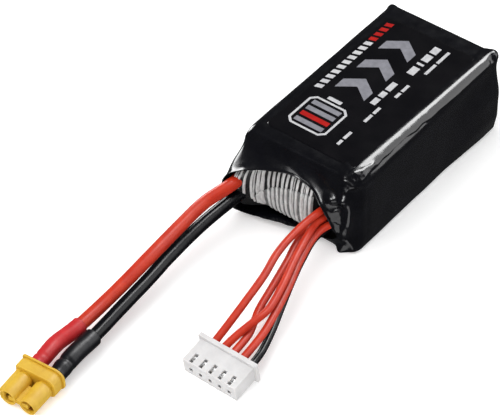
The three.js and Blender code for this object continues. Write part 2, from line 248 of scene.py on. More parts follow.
def finish_of(
    name, colour, other, patch, roughness, rough_scale=600.0, grain=900.0, grain_detail=5.0,
    bump=0.15, bump_height=0.00003, metallic=0.0, specular=0.5, subsurface=0.0,
    stretch=(1.0, 1.0, 1.0), wear=None,
):
    """A surface whose colour, roughness and relief vary over it.

    patch, rough_scale and grain are features per metre: of the blend between the two colours, of
    the roughness and of the relief. wear is the colour of rubbed edges.
    """
    finish, tree, shader = nodes_of(name)
    place = add_node(tree, "ShaderNodeTexCoord")
    mapping = add_node(tree, "ShaderNodeMapping", Scale=stretch)
    patches = add_node(tree, "ShaderNodeTexNoise", Scale=patch, Detail=4.0, Roughness=0.6)
    ramp = add_node(tree, "ShaderNodeValToRGB")
    for element, position, tint in zip(ramp.color_ramp.elements, (0.35, 0.7), (colour, other)):
        element.position = position
        element.color = (*tint, 1.0)
    smudge = add_node(tree, "ShaderNodeTexNoise", Scale=rough_scale, Detail=3.0)
    spread = add_node(
        tree, "ShaderNodeMapRange",
        **{"From Min": 0.3, "From Max": 0.7, "To Min": roughness[0], "To Max": roughness[1]},
    )
    relief = add_node(tree, "ShaderNodeTexNoise", Scale=grain, Detail=grain_detail, Roughness=0.55)
    raised = add_node(tree, "ShaderNodeBump", Strength=bump, Distance=bump_height)
    join(
        tree,
        (place, "Object", mapping, "Vector"),
        (mapping, "Vector", patches, "Vector"),
        (patches, "Fac", ramp, "Fac"),
        (mapping, "Vector", smudge, "Vector"),
        (smudge, "Fac", spread, "Value"),
        (spread, "Result", shader, "Roughness"),
        (mapping, "Vector", relief, "Vector"),
        (relief, "Fac", raised, "Height"),
        (raised, "Normal", shader, "Normal"),
    )
    if wear:
        edge = add_node(tree, "ShaderNodeNewGeometry")
        picked = add_node(tree, "ShaderNodeMapRange", **{"From Min": 0.52, "From Max": 0.62})
        mix = add_node(tree, "ShaderNodeMix", data_type="RGBA")
        mix.inputs["B"].default_value = (*wear, 1.0)
        join(
            tree,
            (edge, "Pointiness", picked, "Value"),
            (picked, "Result", mix, "Factor"),
            (ramp, "Color", mix, "A"),
            (mix, "Result", shader, "Base Color"),
        )
    else:
        join(tree, (ramp, "Color", shader, "Base Color"))
    set_inputs(shader, {"Metallic": metallic, "Specular IOR Level": specular})
    if subsurface:
        spread_light = {"Subsurface Radius": (1.0, 0.9, 0.8), "Subsurface Scale": 0.001}
        set_inputs(shader, {"Subsurface Weight": subsurface, **spread_light})
    return finish


# ---- film and print
film_black = finish_of(
    "film_black", (0.0022, 0.0023, 0.0038), (0.0040, 0.0042, 0.0062), 220.0, (0.15, 0.24),
    rough_scale=420.0, grain=520.0, grain_detail=1.0, bump=0.10, bump_height=0.00012, specular=0.3,
)
label_black = finish_of(
    "label_black", (0.0022, 0.0022, 0.0034), (0.0042, 0.0038, 0.0052), 160.0, (0.12, 0.18),
    rough_scale=200.0, grain=300.0, bump=0.05, bump_height=0.0001, specular=0.3,
)
ink = {"roughness": (0.14, 0.20), "specular": 0.2, "bump": 0.05}
print_white = finish_of("print_white", (0.48, 0.48, 0.50), (0.62, 0.62, 0.63), 900.0, **ink)
print_grey = finish_of("print_grey", (0.20, 0.20, 0.225), (0.27, 0.27, 0.30), 700.0, **ink)
print_red = finish_of("print_red", (0.36, 0.010, 0.009), (0.45, 0.016, 0.013), 700.0, **ink)

# ---- leads and shrink tubes
silicone = {"patch": 300.0, "rough_scale": 500.0, "grain": 2200.0}
silicone_red = finish_of(
    "silicone_red", (0.50, 0.026, 0.009), (0.60, 0.042, 0.014), roughness=(0.32, 0.42),
    bump=0.12, specular=0.17, **silicone,
)
silicone_black = finish_of(
    "silicone_black", (0.0020, 0.0020, 0.0032), (0.0040, 0.0040, 0.0060), roughness=(0.22, 0.30),
    bump=0.08, specular=0.14, **silicone,
)
shrink = {"patch": 350.0, "rough_scale": 400.0, "grain": 700.0, "bump": 0.2}
shrink_red = finish_of(
    "shrink_red", (0.50, 0.016, 0.019), (0.60, 0.027, 0.031), roughness=(0.38, 0.50),
    specular=0.17, **shrink,
)
shrink_black = finish_of(
    "shrink_black", (0.0030, 0.0030, 0.0052), (0.0060, 0.0060, 0.0096), roughness=(0.34, 0.44),
    specular=0.22, **shrink,
)

# ---- connectors
nylon = {"roughness": (0.42, 0.56), "specular": 0.25}
nylon_yellow = finish_of(
    "nylon_yellow", (0.62, 0.36, 0.020), (0.70, 0.44, 0.034), 450.0, rough_scale=700.0,
    grain=1600.0, bump=0.12, subsurface=0.08, wear=(0.74, 0.48, 0.08), **nylon,
)
nylon_white = finish_of(
    "nylon_white", (0.62, 0.61, 0.61), (0.70, 0.69, 0.69), 350.0, grain=1400.0, bump=0.1,
    subsurface=0.25, **nylon,
)
plated = {"patch": 1500.0, "rough_scale": 1500.0, "grain": 4000.0, "bump": 0.1, "metallic": 1.0}
contact_gold = finish_of(
    "contact_gold", (0.34, 0.16, 0.04), (0.50, 0.27, 0.08), roughness=(0.22, 0.4), **plated
)
contact_tin = finish_of(
    "contact_tin", (0.72, 0.72, 0.72), (0.82, 0.82, 0.81), roughness=(0.2, 0.4), **plated
)

# ---- nose and tape
foam_dark = finish_of(
    "foam_dark", (0.004, 0.004, 0.005), (0.010, 0.010, 0.011), 2500.0, (0.75, 0.95),
    grain=3200.0, bump=0.9, bump_height=0.0002, specular=0.2,
)
along_tape = {"stretch": (3.0, 1.0, 1.0)}
tape_strand = finish_of(
    "tape_strand", (0.46, 0.47, 0.47), (0.70, 0.71, 0.70), 600.0, (0.3, 0.5),
    grain=3000.0, bump=0.3, **along_tape,
)
tape_film = {"patch": 500.0, "roughness": (0.2, 0.35), "grain": 1500.0, "bump": 0.2, **along_tape}
tape_backing = finish_of("tape_backing", (0.13, 0.135, 0.135), (0.20, 0.205, 0.205), **tape_film)
tape_shade = finish_of(
    "tape_shade", (0.010, 0.010, 0.011), (0.024, 0.025, 0.026), specular=0.4, **tape_film
)

# ---- inside of the pack
cell_foil = finish_of(
    "cell_foil", (0.42, 0.43, 0.45), (0.52, 0.53, 0.55), 350.0, (0.22, 0.4),
    grain=1200.0, bump=0.25, metallic=0.9, wear=(0.75, 0.76, 0.78),
)
tab = {"patch": 900.0, "grain": 2500.0, "bump": 0.2, "metallic": 1.0, "stretch": (1.0, 4.0, 1.0)}
tab_aluminium = finish_of(
    "tab_aluminium", (0.58, 0.59, 0.61), (0.70, 0.71, 0.72), roughness=(0.25, 0.45), **tab
)
tab_nickel = finish_of(
    "tab_nickel", (0.42, 0.39, 0.34), (0.52, 0.49, 0.43), roughness=(0.28, 0.48), **tab
)
pad_tape = finish_of(
    "pad_tape", (0.66, 0.63, 0.52), (0.76, 0.73, 0.62), 500.0, (0.6, 0.85),
    grain=1800.0, bump=0.5, specular=0.3,
)
board_green = finish_of(
    "board_green", (0.010, 0.075, 0.030), (0.018, 0.11, 0.045), 700.0, (0.28, 0.42),
    grain=2600.0, bump=0.35, wear=(0.25, 0.22, 0.12),
)
paper_green = finish_of(
    "paper_green", (0.50, 0.56, 0.34), (0.58, 0.64, 0.42), 800.0, (0.75, 0.95),
    grain=2800.0, bump=0.6, specular=0.2,
)
card_dark = finish_of(
    "card_dark", (0.018, 0.018, 0.021), (0.032, 0.032, 0.036), 900.0, (0.6, 0.85),
    grain=2400.0, bump=0.6, specular=0.3, wear=(0.07, 0.07, 0.075),
)
copper_strand = finish_of(
    "copper_strand", (0.48, 0.24, 0.15), (0.62, 0.34, 0.22), 2500.0, (0.25, 0.45),
    grain=5000.0, bump=0.6, metallic=1.0,
)

# ---- connector places
power_place = (
    Matrix.Translation((-14.0, -91.4, 2.9))
    @ Matrix.Rotation(math.radians(4.5), 4, "Z")
    @ Matrix.Rotation(math.radians(4.0), 4, "X")
)
balance_place = (
    Matrix.Translation((13.8, -64.9, 3.4))
    @ Matrix.Rotation(math.radians(-0.5), 4, "Z")
    @ Matrix.Rotation(math.radians(10.0), 4, "X")
)
POWER_STOPS = (7.2, 3.2, 0.3)
BALANCE_STOPS = (0.3, -0.3)


def balance_x(way):
    return (way - 3) * BALANCE_PITCH


def route(points, place, x, stops):
    """The points of a lead, and then its straight stretch into a connector."""
    return [tuple(p) for p in points] + [tuple(place @ Vector((x, y, 0.0))) for y in stops]


red_route = route(
    [
        (-12.8, -18.6, 11.0), (-12.75, -30.7, 11.4), (-14.8, -37.4, 9.9), (-15.3, -45.4, 8.6),
        (-15.3, -55.7, 7.3), (-15.6, -63.4, 5.8), (-16.0, -71.2, 4.5), (-16.3, -79.5, 3.9),
    ],
    power_place, -POWER_PITCH / 2, POWER_STOPS,
)
black_route = route(
    [
        (-11.6, -18.6, 7.6), (-12.0, -28.7, 7.7), (-13.0, -40.3, 6.9), (-13.3, -51.6, 5.5),
        (-12.9, -59.8, 4.7), (-12.6, -68.0, 4.1), (-12.2, -77.6, 3.4),
    ],
    power_place, POWER_PITCH / 2, POWER_STOPS,
)
balance_routes = [
    [
        (8.8, -18.6, 11.4), (7.0, -25.8, 10.7), (6.4, -31.9, 10.2), (6.6, -39.4, 9.3),
        (7.9, -46.1, 8.2), (8.5, -52.8, 6.8), (8.8, -59.3, 5.1),
    ],
    [
        (9.8, -18.6, 9.4), (7.5, -26.4, 9.0), (8.7, -32.3, 9.2), (10.6, -39.4, 8.7),
        (12.5, -45.8, 7.8), (13.8, -52.4, 6.8), (13.3, -56.2, 6.3), (12.0, -60.9, 4.8),
    ],
    [
        (7.6, -18.6, 7.4), (6.5, -26.8, 7.2), (6.6, -31.6, 7.4), (8.5, -38.8, 7.0),
        (9.9, -45.5, 6.0), (11.2, -52.1, 4.9), (12.2, -55.0, 4.3), (13.3, -58.2, 4.0),
    ],
    [
        (11.4, -18.6, 7.8), (8.7, -26.5, 7.4), (8.8, -29.9, 7.4), (10.6, -37.2, 7.0),
        (12.7, -43.6, 6.2), (14.5, -50.2, 5.4), (15.9, -56.8, 4.6),
    ],
    [
        (9.8, -18.6, 5.4), (8.0, -27.4, 5.6), (9.4, -34.3, 5.2), (11.8, -42.1, 4.4),
        (13.9, -48.2, 3.4), (15.7, -53.3, 2.7), (17.8, -59.8, 2.8),
    ],
]


# ---- cords
lead_paths = {}


def lead(name, path, radius, finish, slot, nodes):
    """A lead as a round tube along its route, with the faint unevenness of moulded silicone."""
    line = resample(catmull_rom(path, 24), 180)
    seed = len(lead_paths) * 4.3

    def radius_at(share, angle):
        return radius * (1.0 + 0.012 * noise.noise(Vector((share * 24.0, math.cos(angle), seed))))

    shape = Shape()
    rings = sweep(line, radius_at, 28)
    start, end = line[0], line[-1]
    first = [start + (np.array(p) - start) * 0.86 for p in rings[0]]
    last = [end + (np.array(p) - end) * 0.86 for p in rings[-1]]
    shape.loft([first] + rings + [last])
    lead_paths[name] = [tuple(p * MM) for p in line]
    piece = shape.piece(name, slot, finish, nodes, sharp_angle=60.0)
    piece.visible_glossy = False
    return piece


red_lead = lead(
    "main_lead_red", red_route, MAIN_LEAD_RADIUS, silicone_red, "red_silicone", ["red_main_lead"]
)
black_lead = lead(
    "main_lead_black", black_route, MAIN_LEAD_RADIUS, silicone_black, "black_silicone",
    ["black_main_lead"],
)
for way, points in zip(BALANCE_WAYS, balance_routes):
    path = route(points, balance_place, balance_x(way), BALANCE_STOPS)
    is_black = way == BLACK_WAY
    finish = silicone_black if is_black else silicone_red
    slot = "black_silicone" if is_black else "red_silicone"
    wire = lead(
        f"balance_wire_{way}", path, BALANCE_LEAD_RADIUS, finish, slot, [f"balance_lead_{way}"]
    )


# ---- shrink tubes on the main leads
TUBE_BORE = MAIN_LEAD_RADIUS + 0.02


def shrink_tube(name, path, covered, radius, creases, finish, slot, nodes):
    """A thin tube shrunk over the end of a lead, with soft wrinkles and a few creases.

    A crease has its share of the length, the angle it faces, its depth and its width.
    """
    fine = resample(catmull_rom(path, 24), 400)
    start = int(len(fine) * (1.0 - covered / path_length(fine)))
    run = resample(fine[start:-2], 64)
    seed = covered

    def radius_at(share, angle):
        value = radius
        value += 0.03 * noise.noise(Vector((share * 7.0, math.cos(angle) * 1.4, seed)))
        value += 0.02 * noise.noise(Vector((share * 18.0, math.sin(angle) * 2.0, seed + 5.0)))
        for at, facing, depth, width in creases:
            closeness = math.exp(-(((share - at) / width) ** 2))
            value -= depth * closeness * (0.55 + 0.45 * math.cos(angle - facing))
        return value

    shape = Shape()
    outer = sweep(run, radius_at, 40)
    inner = sweep(run, lambda share, angle: TUBE_BORE, 40)
    lip = [inner[0]]
    for blend in (0.35, 0.75):
        lip.append([a * blend + b * (1 - blend) for a, b in zip(outer[0], inner[0])])
    heel = [[a * 0.75 + b * 0.25 for a, b in zip(outer[-1], inner[-1])], inner[-1]]
    shape.loft(lip + outer[1:] + heel + inner[-2:0:-1], joined=True)
    return shape.piece(name, slot, finish, nodes, sharp_angle=70.0)


red_tube = shrink_tube(
    "shrink_tube_red", red_route, 13.9, 1.84, [(0.86, 0.6, 0.16, 0.03), (0.97, 2.0, 0.12, 0.05)],
    shrink_red, "red_shrink", ["red_lead_shrink"],
)
black_tube = shrink_tube(
    "shrink_tube_black", black_route, 13.0, 2.02,
    [(0.74, 1.6, 0.30, 0.05), (0.98, 0.6, 0.22, 0.10)],
    shrink_black, "black_shrink", ["black_lead_shrink"],
)


# ---- moulded outlines
def rounded_outline(width, height, radii, steps=7):
    """Corners in X and Z from lower left round to upper left. A radius of each corner is given."""
    corners = [(-1, -1, 180.0), (1, -1, 270.0), (1, 1, 0.0), (-1, 1, 90.0)]
    points = []
    for (sx, sz, begin), radius in zip(corners, radii):
        for step in range(steps + 1):
            angle = math.radians(begin + 90.0 * step / steps)
            x = sx * width / 2 - sx * radius + radius * math.cos(angle)
            z = sz * height / 2 - sz * radius + radius * math.sin(angle)
            points.append((x, z))
    return points


def block(shape, width, height, radii, from_y, to_y, fillet, x=0.0, z=0.0):
    """A block along Y with rounded long corners and a small fillet round both ends."""
    turns = [math.radians(22.5 * step) for step in range(5)]
    rounding = [(fillet * (1 - math.sin(a)), fillet * (1 - math.cos(a))) for a in turns]
    rows = [(inset, from_y + depth) for inset, depth in rounding]
    rows += [(inset, to_y - depth) for inset, depth in rounding[::-1]]
    rings = []
    for inset, y in rows:
        outline = rounded_outline(
            width - 2 * inset, height - 2 * inset, [max(r - inset, 0.05) for r in radii]
        )
        rings.append([(px + x, y, pz + z) for px, pz in outline])
    shape.loft(rings)


def turned(shape, profile, x=0.0, z=0.0, sides=56):
    """A ring turned about an axis along Y from a closed profile of radius and Y."""
    turns = [2.0 * math.pi * k / sides for k in range(sides)]
    shape.loft(
        [[(x + r * math.cos(a), y, z + r * math.sin(a)) for a in turns] for r, y in profile],
        joined=True,
    )


def rounded_profile(corners, fillet, steps=3):
    """The corners of a closed profile, each rounded a little."""
    out = []
    count = len(corners)
    for i, corner in enumerate(corners):
        here = np.array(corner, float)
        before = np.array(corners[i - 1], float)
        after = np.array(corners[(i + 1) % count], float)
        reach = min(fillet, np.linalg.norm(before - here) * 0.4, np.linalg.norm(after - here) * 0.4)
        a = here + (before - here) / np.linalg.norm(before - here) * reach
        b = here + (after - here) / np.linalg.norm(after - here) * reach
        for step in range(steps + 1):
            t = step / steps
            out.append(tuple((1 - t) ** 2 * a + 2 * t * (1 - t) * here + t * t * b))
    return out


# ---- power connector
NOSE_Y = -9.6
SHROUD_BORE = 1.5
SOCKET_RADIUS, SOCKET_BORE = 1.38, 1.02
CUP_RADIUS, CUP_BORE, CUP_BACK_Y = 1.3, 0.86, 3.2
SLIT_HALF = math.radians(9.0)

housing = Shape()
# The body and its rear flange, in three steps.
block(housing, 9.9, 5.2, (0.7, 1.9, 1.9, 0.7), -3.3, -0.95, 0.2)
block(housing, 9.3, 4.6, (0.5, 1.6, 1.6, 0.5), -1.2, -0.3, 0.1)
block(housing, 10.5, 5.7, (0.8, 2.1, 2.1, 0.8), -0.5, 0.0, 0.14)
# A round shroud for each socket.
shroud = rounded_profile(
    [
        (1.78, -2.6), (1.78, -3.65), (2.08, -3.9), (2.0, NOSE_Y),
        (1.66, NOSE_Y), (SHROUD_BORE, NOSE_Y + 0.35), (SHROUD_BORE, -2.6),
    ],
    0.14,
)
for side in (-1, 1):
    turned(housing, shroud, x=side * POWER_PITCH / 2)
# The web between the shrouds, a step below it and the squared end on the left.
block(housing, 5.0, 1.2, (0.2,) * 4, NOSE_Y + 0.25, -4.9, 0.15, z=-0.25)
block(housing, 3.0, 0.6, (0.2,) * 4, -5.4, -3.0, 0.1, z=-1.7)
block(housing, 1.1, 3.3, (0.35, 0.1, 0.1, 0.35), NOSE_Y + 0.2, -3.0, 0.15, x=-4.02)
power_housing = housing.piece(
    "power_connector_body", "connector_yellow", nylon_yellow, ["power_connector_housing"],
    power_place, 32.0,
)


def tube_profile(radius, bore, y0, y1):
    """The section of a tube's wall, with its four corners rounded."""
    return rounded_profile([(radius, y0), (radius, y1), (bore, y1), (bore, y0)], 0.1)


def split_socket(name, x, nodes):
    """A gold tube with four slits at its mouth and a solder cup behind."""
    shape = Shape()
    finger = tube_profile(SOCKET_RADIUS, SOCKET_BORE, -4.2, NOSE_Y + 0.75)
    for quarter in range(4):
        start = quarter * math.pi / 2 + SLIT_HALF + math.pi / 4
        end = (quarter + 1) * math.pi / 2 - SLIT_HALF + math.pi / 4
        rings = []
        for step in range(11):
            angle = start + (end - start) * step / 10
            c, s = math.cos(angle), math.sin(angle)
            rings.append([(x + radius * c, y, radius * s) for radius, y in finger])
        shape.loft(rings)
    turned(shape, tube_profile(SOCKET_RADIUS, 1.0, 0.2, -4.3), x=x)
    turned(shape, tube_profile(CUP_RADIUS, CUP_BORE, CUP_BACK_Y, 0.1), x=x)
    return shape.piece(name, "gold_contact", contact_gold, nodes, power_place)


socket_positive = split_socket("power_socket_left", -POWER_PITCH / 2, ["power_socket_positive"])
socket_negative = split_socket("power_socket_right", POWER_PITCH / 2, ["power_socket_negative"])


# ---- balance connector
def plate(shape, x0, x1, y0, y1, z0, z1, fillet):
    """A box with small fillets along every edge."""
    width, height = x1 - x0, z1 - z0
    fillet = min(fillet, width * 0.3, height * 0.3, (y1 - y0) * 0.3)
    block(shape, width, height, (fillet,) * 4, y0, y1, fillet, x=(x0 + x1) / 2, z=(z0 + z1) / 2)


def cell_body(shape, xs, ys, zs, solid):
    """A body of box cells between planes. solid says whether a cell is filled, from its centre."""
    filled = {}
    for i, j, k in np.ndindex(len(xs) - 1, len(ys) - 1, len(zs) - 1):
        x, y, z = (xs[i] + xs[i + 1]) / 2, (ys[j] + ys[j + 1]) / 2, (zs[k] + zs[k + 1]) / 2
        filled[i, j, k] = solid(x, y, z)
    index, points, faces = {}, [], []

    def corner(i, j, k):
        if (i, j, k) not in index:
            index[i, j, k] = len(points)
            points.append((xs[i], ys[j], zs[k]))
        return index[i, j, k]

    sides = (
        ((1, 0, 0), ((1, 0, 0), (1, 1, 0), (1, 1, 1), (1, 0, 1))),
        ((-1, 0, 0), ((0, 0, 0), (0, 0, 1), (0, 1, 1), (0, 1, 0))),
        ((0, 1, 0), ((0, 1, 0), (0, 1, 1), (1, 1, 1), (1, 1, 0))),
        ((0, -1, 0), ((0, 0, 0), (1, 0, 0), (1, 0, 1), (0, 0, 1))),
        ((0, 0, 1), ((0, 0, 1), (1, 0, 1), (1, 1, 1), (0, 1, 1))),
        ((0, 0, -1), ((0, 0, 0), (0, 1, 0), (1, 1, 0), (1, 0, 0))),
    )
    for (i, j, k), full in filled.items():
        if not full:
            continue
        for (di, dj, dk), corners in sides:
            if not filled.get((i + di, j + dj, k + dk), False):
                faces.append(tuple(corner(i + a, j + b, k + c) for a, b, c in corners))
    shape.add(points, faces)


# Planes of the plug, from its nose to its flange, from below upward, and out from each way.
PLUG_NOSE_Y, POCKET_Y, WINDOW_Y, FLANGE_Y = -7.2, -6.85, -4.5, -1.0
FLANGE_BOTTOM, BODY_BOTTOM, POCKET_BOTTOM, MOUTH_BOTTOM = -2.6, -2.1, -1.35, -1.0
MOUTH_TOP, POCKET_TOP, BODY_TOP, FLANGE_TOP = 0.1, 0.95, 2.1, 2.95
FLANGE_HALF, BODY_HALF = 7.5, 6.9
WINDOW_HALF, POCKET_HALF = 0.43, 0.80


def in_plug(px, py, pz):
    """Whether a point is in the plastic of the balance plug."""
    in_flange = py > FLANGE_Y and abs(px) < FLANGE_HALF and FLANGE_BOTTOM < pz < FLANGE_TOP
    in_body = abs(px) < BODY_HALF and BODY_BOTTOM < pz < BODY_TOP
    off_way = min(abs(px - balance_x(way)) for way in BALANCE_WAYS)
    in_pocket = off_way < POCKET_HALF and POCKET_BOTTOM < pz < POCKET_TOP and py > POCKET_Y
    in_mouth = off_way < WINDOW_HALF and MOUTH_BOTTOM < pz < MOUTH_TOP and py < POCKET_Y
    in_window = off_way < WINDOW_HALF and pz > POCKET_TOP and POCKET_Y < py < WINDOW_Y
    return (in_flange or in_body) and not (in_pocket or in_mouth or in_window)


plug_xs = [-FLANGE_HALF, -BODY_HALF]
for way in BALANCE_WAYS:
    x = balance_x(way)
    plug_xs += [x - POCKET_HALF, x - WINDOW_HALF, x + WINDOW_HALF, x + POCKET_HALF]
plug_xs += [BODY_HALF, FLANGE_HALF]
plug_ys = [PLUG_NOSE_Y, POCKET_Y, WINDOW_Y, FLANGE_Y, 0.0]
plug_zs = [FLANGE_BOTTOM, BODY_BOTTOM, POCKET_BOTTOM, MOUTH_BOTTOM]
plug_zs += [MOUTH_TOP, POCKET_TOP, BODY_TOP, FLANGE_TOP]
plug = Shape()
cell_body(plug, plug_xs, plug_ys, plug_zs, in_plug)
plug_housing = plug.piece(
    "balance_plug_body", "connector_white", nylon_white, ["balance_connector_housing"],
    balance_place, 32.0,
)
softened = plug_housing.modifiers.new("softened", "BEVEL")
softened.width = 0.09 * MM
softened.segments = 2
softened.limit_method = "ANGLE"


def plug_contact(way):
    """A tin contact: an open trough, a spring over it and the catch that shows in the window."""
    x = balance_x(way)
    shape = Shape()
    plate(shape, x - 0.72, x - 0.57, -6.6, -1.2, -0.72, 0.72, 0.04)
    plate(shape, x + 0.57, x + 0.72, -6.6, -1.2, -0.72, 0.72, 0.04)
    plate(shape, x - 0.72, x + 0.72, -6.6, -1.2, -0.72, -0.57, 0.04)
    plate(shape, x - 0.66, x + 0.66, -6.2, -3.7, 0.60, 0.78, 0.06)
    plate(shape, x - 0.34, x + 0.34, -6.15, -4.95, 0.72, 1.7, 0.12)
    name, nodes = f"balance_plug_contact_{way}", [f"balance_contact_{way}"]
    return shape.piece(name, "tin_contact", contact_tin, nodes, balance_place)


plug_contacts = [plug_contact(way) for way in BALANCE_WAYS]


# ---- shrink sleeve
MOUTH_KEYS = [
    (-0.8, -25.5, 17.2), (4.8, -25.2, 15.5), (7.9, -25.9, 12.3), (9.9, -24.9, 7.6),
    (10.6, -23.8, 3.9), (7.6, -24.0, 2.2), (0.0, -25.4, 2.2), (-8.0, -26.9, 1.6),
    (-14.0, -28.0, 1.2), (-14.7, -29.8, 5.5), (-14.7, -31.1, 11.9), (-11.0, -29.4, 15.4),
]
RING = 32 * len(MOUTH_KEYS)
SHOULDER_Y = FRONT_Y + 1.9
BACK_RADIUS = 1.2
WINDOW_INSET = 5.0
TURN_STEPS, BODY_STEPS, FRONT_STEPS, WINDOW_ROWS = 8, 104, 76, 7


def section(share, half_width, half_height, radius):
    """A point on the pack's cross-section, clockwise from the top centre."""
    quadrant = int(share * 4.0)
    passed = share * 4.0 - quadrant
    part = 3.0 - 3.0 * passed if quadrant % 2 else 3.0 * passed
    turn = min(max(part - 1.0, 0.0), 1.0) * math.pi / 2
    x = (half_width - radius) * min(part, 1.0) + radius * math.sin(turn)
    z = (half_height - radius) * min(3.0 - part, 1.0) + radius * math.cos(turn)
    return x if quadrant < 2 else -x, PACK_HEIGHT / 2 + (z if quadrant in (0, 3) else -z)


def corner_radius(share, y):
    """The upper right edge is fuller toward the leads and the lower right one is tight."""
    quadrant = int(share * 4.0)
    if quadrant == 0:
        return float(np.interp(y, (-18.0, -2.0, 10.0, 30.0), (3.7, 3.2, 2.8, 2.2)))
    if quadrant == 1:
        return 0.8
    return 2.2


def bezier(a, b, c, t):
    return (1 - t) ** 2 * a + 2 * t * (1 - t) * b + t * t * c


def ring_round(y, inset=0.0, depth=0.0):
    """A ring round the pack at a depth from y, drawn in by an inset."""
    ring = []
    for i in range(RING):
        radius = max(corner_radius(i / RING, y) - inset * 0.3, 0.5)
        x, z = section(i / RING, PACK_WIDTH / 2 - inset, PACK_HEIGHT / 2 - inset, radius)
        ring.append((x, y - depth, z))
    return ring


def front_row(shoulder, rims, passed):
    """A ring from the shoulder over the cell ends, passed = 0, out to the mouth, passed = 1."""
    turned_in = 0.4
    ring = []
    for i, (edge, rim) in enumerate(zip(shoulder, rims)):
        start = np.array(edge)
        toward = np.array((rim[0] - edge[0], 0.0, rim[2] - edge[2]))
        flank = float(np.clip(1.0 - abs(i / RING - 0.27) / 0.13, 0.0, 1.0))
        stops = []
        for reach, depth in (
            (0.03, 0.15), (0.17 + 0.10 * flank, 0.55), (0.80 + 0.05 * flank, 0.95)
        ):
            stops.append(start + toward * reach)
            stops[-1][1] = FRONT_Y - depth
        if passed < turned_in:
            ring.append(bezier(start, stops[0], stops[1], passed / turned_in))
        else:
            ring.append(bezier(stops[1], stops[2], rim, (passed - turned_in) / (1.0 - turned_in)))
    return ring


def smooth_film():
    """Rings of the film from the rear window round the body and out to the mouth."""
    rows = []
    for step in range(TURN_STEPS):
        inset = WINDOW_INSET + (BACK_RADIUS - WINDOW_INSET) * step / TURN_STEPS
        rows.append(ring_round(BACK_Y, inset))
    for step in range(TURN_STEPS + 1):
        turn = math.radians(90.0 * step / TURN_STEPS)
        inset, depth = BACK_RADIUS * (1 - math.sin(turn)), BACK_RADIUS * (1 - math.cos(turn))
        rows.append(ring_round(BACK_Y, inset, depth))
    for step in range(1, BODY_STEPS + 1):
        run = SHOULDER_Y - BACK_Y + BACK_RADIUS
        rows.append(ring_round(BACK_Y - BACK_RADIUS + run * step / BODY_STEPS))
    shoulder = ring_round(SHOULDER_Y)
    rims = catmull_rom(MOUTH_KEYS, RING // len(MOUTH_KEYS), closed=True)
    for step in range(1, FRONT_STEPS + 1):
        rows.append(front_row(shoulder, rims, step / FRONT_STEPS))
    return np.array(rows, float)


# Each helper below takes the film as rows of points, so that masks and noise act on all of it.
def axes(points):
    return points[:, :, 0], points[:, :, 1], points[:, :, 2]


def grid_normals(points):
    around = np.roll(points, -1, axis=1) - np.roll(points, 1, axis=1)
    along = np.gradient(points, axis=0)
    normal = np.cross(along, around)
    normal /= np.maximum(np.linalg.norm(normal, axis=2), 1e-9)[:, :, None]
    return normal


def push(points, amount, direction=None):
    """Moves the film by an amount at each point, outward or along a direction."""
    move = grid_normals(points) if direction is None else np.asarray(direction, float)
    return points + move * amount[:, :, None]


def near(points, centre, size):
    gap = (points - np.asarray(centre, float)) / np.asarray(size, float)
    return np.exp(-(gap ** 2).sum(axis=2))


def field(points, scale, seed):
    return noise_at(points.reshape(-1, 3), scale, seed).reshape(points.shape[:2])


def bump(points, centre, size, height, direction=None):
    """Raises the film round a centre, or dents it where the height is negative."""
    return push(points, near(points, centre, size) * height, direction)


def crease(points, path, width, height):
    """Raises a soft ridge along a path."""
    gap = path_distance(points.reshape(-1, 3), path).reshape(points.shape[:2])
    return push(points, height * np.exp(-((gap / width) ** 2)))


def shape_sides(film):
    """Unevenness of the flat faces, and the right side, which bellies out toward the rear."""
    x, y, z = axes(film)
    on_body = smoothstep(-24.0, -19.0, y)
    film = push(film, 0.07 * field(film, 7.0, 1.0) * on_body * (np.abs(x) > 14.5))
    film = push(film, 0.03 * field(film, 9.0, 2.0) * on_body * (z > 21.0))
    belly = smoothstep(10.0, 27.0, y) * (x > 13.0) * (1.0 - smoothstep(10.0, 18.5, z))
    belly = belly * (0.55 + 0.45 * smoothstep(0.0, 5.0, z))
    return push(film, 1.25 * belly, (1.0, 0.0, 0.0))


def double_edge(film):
    """The film is doubled along the upper right edge and ends in an uneven line on the side."""
    x, y, z = axes(film)
    line = 20.2 + 0.35 * field(np.stack([y * 0, y, y * 0], axis=2), 3.2, 3.0)
    line = line + 0.5 * smoothstep(10.0, -4.0, y) - 0.5 * smoothstep(-8.0, -20.0, y)
    doubled = smoothstep(-0.25, 0.25, z - line) * (x > 11.5) * smoothstep(-22.5, -20.5, y)
    film = push(film, 0.16 * doubled)
    lumps = np.maximum(field(film, 1.9, 4.0), 0.0) * doubled * smoothstep(12.8, 13.8, x)
    return push(film, lumps * (0.08 + 0.14 * smoothstep(0.0, -20.0, film[:, :, 1])))


